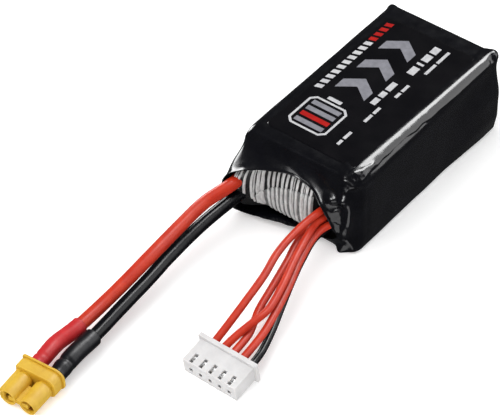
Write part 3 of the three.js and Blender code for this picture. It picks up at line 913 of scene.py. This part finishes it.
def fold_front_corner(film):
    """The front right corner, where the film turns in over the cell ends and folds on itself."""
    fold = [
        (11.3, -22.6, 20.4), (11.0, -22.9, 18.4), (11.6, -23.0, 16.7), (12.3, -23.0, 15.0),
        (12.9, -22.9, 12.4), (12.8, -22.9, 9.5), (12.2, -22.9, 6.3), (11.8, -22.9, 3.6),
    ]
    # Film to the right of the fold is drawn in to a soft limit that leads back to the side.
    x, y, z = axes(film)
    softness = 0.45
    fold_x = np.interp(z, [p[2] for p in fold[::-1]], [p[0] for p in fold[::-1]])
    behind = smoothstep(-24.6, -18.4, y)
    limit = fold_x + (PACK_WIDTH / 2 + 0.4 - fold_x) * np.clip(behind * 1.15 - 0.10, 0.0, 1.0)
    held = smoothstep(1.5, 4.5, z) * (1.0 - smoothstep(17.2, 19.8, z))
    over = softness * np.log1p(np.exp(np.clip((x - limit) / softness, -30.0, 30.0)))
    over = over * smoothstep(-17.6, -18.6, y) * (x > 9.0)
    film = push(film, -over * held, (1.0, 0.0, 0.0))
    film = crease(film, fold, 1.2, 0.45)
    # Lumps and short ridges between the fold and the mouth.
    film = bump(film, (8.9, -23.6, 14.6), (1.3, 1.5, 1.2), 0.75)
    film = bump(film, (11.6, -23.2, 15.2), (1.1, 1.3, 1.2), 1.05)
    film = bump(film, (10.2, -23.2, 12.6), (1.5, 1.5, 1.0), -0.40)
    film = crease(film, [(8.9, -23.8, 10.9), (10.7, -23.2, 11.6)], 0.45, 0.10)
    film = crease(film, [(8.6, -24.2, 7.6), (9.6, -23.6, 6.2)], 0.45, 0.22)
    # Fine crinkles, outward only, so that the rim stays clear of the balance leads.
    crinkled = near(film, (10.3, -24.3, 8.2), (2.6, 2.4, 4.6))
    return push(film, 0.30 * np.maximum(field(film, 1.5, 12.0), 0.0) * crinkled)


def pinch_top_corner(film):
    """The pinched corner at the top, where the doubled edge stops."""
    pinch = (12.4, -20.4, 21.0)
    for end, width, height in (
        ((9.4, -19.2, 21.7), 0.55, 0.14),
        ((11.8, -22.2, 19.6), 0.55, 0.26),
        ((14.6, -18.6, 18.4), 0.60, 0.22),
        ((13.9, -15.6, 21.2), 0.55, 0.20),
    ):
        film = crease(film, [pinch, end], width, height)
    film = bump(film, (13.0, -20.9, 20.6), (0.9, 0.8, 0.8), -0.55)
    return bump(film, (13.6, -18.7, 20.6), (0.8, 0.9, 0.8), 0.35)


def pull_out_ends(film):
    """Places at the front and the back where the film stands clear of the cells."""
    # To the left of the mouth, where the red lead leaves.
    film = bump(film, (-15.0, -26.5, 15.5), (3.2, 3.6, 4.6), 1.1, (-1.0, -0.3, 0.05))
    # An ear at the lower right corner.
    film = bump(film, (11.6, -22.4, 0.9), (1.3, 1.5, 1.1), 1.5, (-0.15, -0.85, -0.5))
    # Knobs at the rear corners, left by shrinking.
    film = bump(film, (13.6, 30.9, 20.8), (1.3, 1.3, 1.3), 0.75)
    film = bump(film, (14.6, 28.8, 20.8), (0.8, 0.8, 1.0), -0.35)
    film = bump(film, (-14.2, 30.8, 21.0), (1.0, 1.0, 1.0), 0.55)
    # Gathers that fan out from each corner over the back.
    for sx in (-1, 1):
        for sz, cz in ((1, 20.4), (-1, 1.3)):
            corner = (sx * 13.4, BACK_Y, cz)
            for spread in (-0.7, 0.0, 0.7):
                end = (sx * (8.6 + 1.4 * spread), BACK_Y, cz - sz * (3.6 - 1.4 * spread))
                film = crease(film, [corner, end], 0.42, 0.22)
    return film


def loosen_rims(film):
    """Faint pulls over the front film, a rolled edge at the mouth and an uneven rear window."""
    front = smoothstep(-22.6, -23.8, film[:, :, 1])
    film = push(film, 0.07 * field(film * np.array((1.0, 0.4, 0.4)), 3.4, 6.0) * front)
    passed = np.linspace(0.0, 1.0, FRONT_STEPS)
    roll = np.zeros(film.shape[:2])
    roll[-FRONT_STEPS:, :] = (smoothstep(0.93, 1.0, passed) * 0.14)[:, None]
    film = push(film, roll)
    tremble = np.zeros(film.shape[:2])
    tremble[-FRONT_STEPS:, :] = smoothstep(0.80, 1.0, passed)[:, None]
    film = push(film, tremble * 0.22 * field(film, 2.4, 8.0), (0.0, 0.6, 1.0))
    window = np.zeros(film.shape[:2])
    window[:WINDOW_ROWS, :] = np.linspace(1.0, 0.0, WINDOW_ROWS)[:, None]
    film = push(film, window * 0.5 * field(film, 3.0, 9.0), (1.0, 0.0, 0.6))
    film[:, :, 2] = np.maximum(film[:, :, 2], 0.0)
    return film


film = smooth_film()
for change in (
    shape_sides, double_edge, fold_front_corner, pinch_top_corner, pull_out_ends, loosen_rims,
):
    film = change(film)
sleeve_shape = Shape()
sleeve_shape.loft([list(map(tuple, row)) for row in film[::-1]], caps=False)
sleeve = sleeve_shape.piece(
    "film_sleeve", "sleeve_film", film_black, ["shrink_sleeve"], sharp_angle=180.0, closed=False
)
wall = sleeve.modifiers.new("wall", "SOLIDIFY")
wall.thickness = 0.14 * MM
wall.offset = -1.0
wall.use_even_offset = False


# ---- label
LABEL_HALF_WIDTH = 12.0
LABEL_FRONT, LABEL_BACK = -19.7, 26.3
LABEL_CORNER = 1.2
LABEL_TOP = PACK_HEIGHT + 0.07
PRINT_UNDER, PRINT_TOP = LABEL_TOP - 0.02, LABEL_TOP + 0.030


def label_points(rows, columns):
    """The label's top face, with rounded corners and a faint ripple."""
    middle = (LABEL_FRONT + LABEL_BACK) / 2
    half_length = (LABEL_BACK - LABEL_FRONT) / 2
    points = []
    for j in range(rows + 1):
        y = LABEL_FRONT + (LABEL_BACK - LABEL_FRONT) * j / rows
        past = max(abs(y - middle) - half_length + LABEL_CORNER, 0.0)
        reach = math.sqrt(max(LABEL_CORNER ** 2 - past * past, 0.0))
        half = LABEL_HALF_WIDTH - (LABEL_CORNER - reach)
        for i in range(columns + 1):
            x = half * (2.0 * i / columns - 1.0)
            ripple = 0.012 * noise.noise(Vector((x / 6.0, y / 6.0, 2.0)))
            points.append((x, y, LABEL_TOP + ripple))
    return points


LABEL_ROWS, LABEL_COLUMNS = 110, 64
label_faces = []
for j in range(LABEL_ROWS):
    for i in range(LABEL_COLUMNS):
        a = j * (LABEL_COLUMNS + 1) + i
        label_faces.append((a, a + 1, a + LABEL_COLUMNS + 2, a + LABEL_COLUMNS + 1))
label_shape = Shape()
label_shape.add(label_points(LABEL_ROWS, LABEL_COLUMNS), label_faces)
label = label_shape.piece(
    "printed_label", "label_film", label_black, ["top_label"], sharp_angle=180.0, closed=False
)
thickness = label.modifiers.new("thickness", "SOLIDIFY")
thickness.thickness = 0.10 * MM
thickness.offset = -1.0


# ---- generic print marks
class Marks(Shape):
    """Flat printed marks on the label: bars, outlines and chevrons, never letters."""

    def polygon(self, points):
        self.loft([[(x, y, z) for x, y in points] for z in (PRINT_UNDER, PRINT_TOP)])

    def bar(self, x0, x1, y0, y1, slant=0.0):
        self.polygon([(x0, y0 + slant), (x1, y0), (x1, y1), (x0, y1 + slant)])

    def frame(self, x0, x1, y0, y1, line, cut):
        """An outline with cut corners, line millimetres wide."""
        rings = []
        for grow, z in (
            (0.0, PRINT_TOP), (-line, PRINT_TOP), (-line, PRINT_UNDER), (0.0, PRINT_UNDER),
        ):
            a, b, c, d = x0 - grow, x1 + grow, y0 - grow, y1 + grow
            k = cut + grow * 0.5
            outline = [
                (a + k, c), (b - k, c), (b, c + k), (b, d - k),
                (b - k, d), (a + k, d), (a, d - k), (a, c + k),
            ]
            rings.append([(x, y, z) for x, y in outline])
        self.loft(rings, joined=True)

    def chevron(self, tip_y, x0, x1, thick, reach):
        middle = (x0 + x1) / 2
        for x, y in ((x0, tip_y - reach), (x1, tip_y - reach)):
            self.polygon([(x, y - thick), (middle, tip_y - thick), (middle, tip_y), (x, y)])


white = Marks()
grey = Marks()
red = Marks()

# A battery sign with one bar for each cell, where the maker's sign would be.
white.frame(-9.6, 0.6, -16.0, -5.6, 0.55, 1.3)
white.bar(-6.3, -2.7, -5.0, -4.0)
for cell in range(4):
    y = -14.7 + 2.15 * cell
    (red if cell == 1 else grey).bar(-8.2, -0.8, y, y + 1.35)

# A gauge of slanted ticks along the left side, the last third of it red.
for tick in range(14):
    y = -2.9 + 2.03 * tick
    (red if tick > 9 else white).bar(-11.0, -9.3, y, y + 1.25, slant=-0.5)

# Three broad chevrons toward the rear.
for step in range(3):
    grey.chevron(5.6 + 8.2 * step, -7.4, 0.6, 3.3, 3.0)

# Short rules in place of small print: two rows of broad ones, then rows of narrow ones.
for y0, y1 in ((-0.4, 1.9), (2.6, 4.6), (5.3, 8.4)):
    white.bar(1.9, 3.3, y0, y1)
for y0, y1 in ((12.8, 15.6), (16.6, 17.3), (18.3, 20.8), (21.6, 24.0)):
    white.bar(2.4, 4.2, y0, y1)
for x0, y0, y1 in (
    (5.0, 4.4, 6.3), (5.0, 6.9, 9.5), (5.7, 14.8, 18.9), (5.7, 19.5, 24.2),
    (4.3, -6.2, -3.4), (4.3, -2.8, -0.4), (4.0, -15.6, -13.9), (4.0, -13.3, -10.6),
):
    white.bar(x0, x0 + 0.75, y0, y1)

white.piece("label_marks_white", "label_film", print_white)
grey.piece("label_marks_grey", "label_film", print_grey)
red.piece("label_marks_red", "label_film", print_red)


# ---- foam nose
NOSE_LEFT, NOSE_RIGHT = -12.9, 5.2
NOSE_BACK_Y, NOSE_MIDDLE_Y, NOSE_MIDDLE_Z = -18.4, -20.05, 9.8
NOSE_REACH, NOSE_HALF_HEIGHT = 5.2, 8.7
SWELL = 4.6
SQUARENESS = 2.0 / 2.35


def nose_point(angle, grow, px):
    """A point of the nose's side outline. angle runs from -90 below to 90 above.

    On the left the nose swells out round the red lead.
    """
    turn = math.radians(angle)
    c, s = math.cos(turn), math.sin(turn)
    swell = SWELL * float(smoothstep(-7.0, -12.6, px)) * float(smoothstep(52.0, 14.0, angle))
    y = NOSE_MIDDLE_Y - (NOSE_REACH + grow + swell) * abs(c) ** SQUARENESS
    z = NOSE_MIDDLE_Z + (NOSE_HALF_HEIGHT + grow) * math.copysign(abs(s) ** SQUARENESS, s)
    return y, z


foam_shape = Shape()
foam_rings = []
for inset, px in (
    (1.2, NOSE_LEFT), (0.5, NOSE_LEFT + 0.25), (0.0, NOSE_LEFT + 0.9),
    (0.0, -10.6), (0.0, -9.2), (0.0, -7.5), (0.0, -2.3),
    (0.0, NOSE_RIGHT - 0.9), (0.5, NOSE_RIGHT - 0.25), (1.2, NOSE_RIGHT),
):
    ring = [(px, *nose_point(angle, -inset, px)) for angle in range(-90, 91, 6)]
    ring.append((px, NOSE_BACK_Y, NOSE_MIDDLE_Z + 8.6 - inset))
    ring.append((px, NOSE_BACK_Y, NOSE_MIDDLE_Z - 8.6 + inset))
    foam_rings.append(ring)
foam_shape.loft(foam_rings)
foam = foam_shape.piece("foam_nose", "foam", foam_dark, ["foam_block"], sharp_angle=60.0)


# ---- filament tape
TAPE_THICKNESS = 0.08
STRAND_PITCH = 1.36
STRAND_HEIGHT = 0.15
STRAND_OUTLINE = (
    (-1.0, -0.35), (-0.98, 0.1), (-0.72, 0.72), (-0.3, 1.0), (0.05, 0.9),
    (0.4, 1.02), (0.78, 0.68), (0.98, 0.1), (1.0, -0.35),
)


def overlap_angle(px):
    """The upper edge of the lower tape, which was laid on at a slant."""
    return float(np.interp(px, (-11.4, -8.7, -5.1, -0.2, 5.4), (-34.0, -8.0, 6.0, 17.0, 23.0)))


def tape_end(px):
    """The lower end of the tape, cut away on the left where the leads come out."""
    return float(np.interp(px, (-12.9, -10.8, -8.8, -6.0), (14.0, -12.0, -34.0, -52.0)))


def tape_sheet(name, from_x, low, high, grow, finish, nodes):
    """The tape's thin backing, wrapped over the nose."""
    across, along = 40, 48
    to_x = NOSE_RIGHT + 0.1
    rings = []
    for i in range(across + 1):
        px = from_x + (to_x - from_x) * i / across
        top, under = [], []
        for j in range(along + 1):
            angle = low(px) + (high(px) - low(px)) * j / along
            lift = 0.05 * noise.noise(Vector((px / 1.6, angle / 14.0, grow * 10.0)))
            top.append((px, *nose_point(angle, grow + lift, px)))
            under.append((px, *nose_point(angle, grow + lift - TAPE_THICKNESS, px)))
        rings.append(top + under[::-1])
    shape = Shape()
    shape.loft(rings)
    return shape.piece(name, "filament_tape", finish, nodes, sharp_angle=60.0)


def draw_strands():
    """Where each strand lies across the tape, with its width and its drift."""
    strands = []
    px = -12.7
    while px < 5.1:
        slim = 0.62 if px < -8.8 else 1.0
        strands.append((px, slim * chance.uniform(0.54, 0.72), chance.uniform(-0.10, 0.10)))
        if chance.random() < 0.2:
            strands.append((px + 0.58 * slim, 0.20, chance.uniform(-0.08, 0.08)))
        px += STRAND_PITCH * (0.25 + 0.75 * slim) * chance.uniform(0.84, 1.08)
    return strands


strand_places = draw_strands()


def strand_bundle(name, low, high, grow, swell, seed):
    """Glass strands along the tape: flattened bundles side by side, none quite like the next."""
    shape = Shape()
    for index, (px, width, drift) in enumerate(strand_places):
        begin, end = low(px), high(px)
        if end - begin < 8.0:
            continue
        rings = []
        for j in range(49):
            share = j / 48
            angle = begin + (end - begin) * share
            sway = 0.12 * noise.noise(Vector((index * 3.1, angle / 22.0, seed)))
            pinch_in = 1.0 + 0.22 * noise.noise(Vector((index * 5.7, angle / 11.0, seed + 3.0)))
            half = 0.5 * (width + swell) * pinch_in
            tip = min(1.0, share * 14.0 + 0.15, (1.0 - share) * 14.0 + 0.15)
            height = STRAND_HEIGHT * tip
            middle = px + sway + drift * (angle / 45.0)
            ring = []
            for dx, rise in STRAND_OUTLINE:
                across = middle + dx * half * (0.5 + 0.5 * tip)
                ring.append((across, *nose_point(angle, grow + height * rise, across)))
            rings.append(ring)
        shape.loft(rings)
    return shape.piece(name, "filament_tape", tape_strand, sharp_angle=50.0)


tape_sheet(
    "tape_upper_backing", NOSE_LEFT, tape_end, lambda px: 88.0, 0.14, tape_shade,
    ["filament_tape_upper"],
)
tape_sheet(
    "tape_lower_backing", -9.4, lambda px: tape_end(px) - 2.0,
    lambda px: max(overlap_angle(px), tape_end(px)), 0.24, tape_backing, ["filament_tape_lower"],
)
strand_bundle(
    "tape_upper_strands", lambda px: max(overlap_angle(px) - 2.0, tape_end(px) + 1.0),
    lambda px: 86.0, 0.17, 0.0, 1.0,
)
strand_bundle(
    "tape_lower_strands", lambda px: tape_end(px) + 1.0, overlap_angle, 0.28, 0.06, 7.0,
)

# ---- finishes of the kept frame nodes
finishes = {
    "cell_pad": pad_tape,
    "positive_tab": tab_aluminium,
    "negative_tab": tab_nickel,
    "tab_board": board_green,
    "tab_insulator": paper_green,
    "rear_end_card": card_dark,
    "lead_core": copper_strand,
}
for name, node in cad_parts.items():
    if node.hide_render:
        continue
    chosen = cell_foil
    for part, finish in finishes.items():
        if part in name:
            chosen = finish
    for material_slot in node.material_slots:
        material_slot.material = chosen

# ---- floor and light
FLOOR_RADIUS = 1.6
floor_finish, _, floor_shader = nodes_of("floor_paper")
set_inputs(
    floor_shader,
    {"Base Color": (0.90, 0.90, 0.90, 1.0), "Roughness": 0.9, "Specular IOR Level": 0.1},
)
set_inputs(floor_shader, {"Emission Color": (1.0, 1.0, 1.0, 1.0), "Emission Strength": 0.32})
floor_ring = []
for degrees in range(0, 360, 5):
    angle = math.radians(degrees)
    floor_ring.append((FLOOR_RADIUS * math.cos(angle), FLOOR_RADIUS * math.sin(angle), -0.00002))
floor_mesh = bpy.data.meshes.new("floor")
floor_mesh.from_pydata(floor_ring, [], [tuple(range(len(floor_ring)))])
floor_mesh.materials.append(floor_finish)
floor = bpy.data.objects.new("floor", floor_mesh)
scene.collection.objects.link(floor)
floor.visible_glossy = False

# The world lights the paper, and is nearly dark to mirrored rays, so that the film stays black.
world = bpy.data.worlds.new("studio")
scene.world = world
world.use_nodes = True
sky = world.node_tree
background = sky.nodes["Background"]
ray = add_node(sky, "ShaderNodeLightPath")
level = add_node(sky, "ShaderNodeMapRange", **{"To Min": 0.80, "To Max": 0.085})
join(sky, (ray, "Is Glossy Ray", level, "Value"), (level, "Result", background, "Strength"))
background.inputs["Color"].default_value = (1.0, 1.0, 1.0, 1.0)


def softbox(name, direction, distance, width, height, power, diffuse=False, glossy=True):
    """A panel that faces the pack from a direction. Most are seen only mirrored in the film."""
    light = bpy.data.lights.new(name, "AREA")
    light.shape = "RECTANGLE"
    light.size = width
    light.size_y = height
    light.energy = power
    panel = bpy.data.objects.new(name, light)
    scene.collection.objects.link(panel)
    panel.location = Vector(direction).normalized() * distance
    aim(panel, (0.0, -0.01, 0.01))
    panel.visible_camera = False
    panel.visible_diffuse = diffuse
    panel.visible_glossy = glossy
    return panel


softbox("key", (-0.35, -0.35, 1.0), 1.0, 0.9, 0.9, 6.0, diffuse=True, glossy=False)
softbox("ridge_panel", (0.047, 0.572, 0.819), 0.8, 0.28, 0.55, 13.0)
softbox("low_panel", (0.665, 0.572, 0.48), 0.8, 0.55, 0.86, 6.6)
softbox("front_panel", (0.30, -0.86, 0.38), 0.8, 0.66, 0.34, 1.8)
softbox("spark", (0.29, -0.89, 0.34), 0.8, 0.26, 0.18, 3.9)
softbox("left_card", (-0.045, -0.016, 0.021), 0.0522, 0.018, 0.015, 0.013)
softbox("top_panel", (-0.06, -0.40, 0.90), 0.8, 0.30, 0.24, 1.5)
# A small card beside the front right corner, aimed first and then set down on the floor.
floor_card = softbox("floor_card", (0.0192, -0.035, 0.001), 0.040, 0.0115, 0.015, 0.0014)
floor_card.location = (0.0192, -0.035, 0.0006)
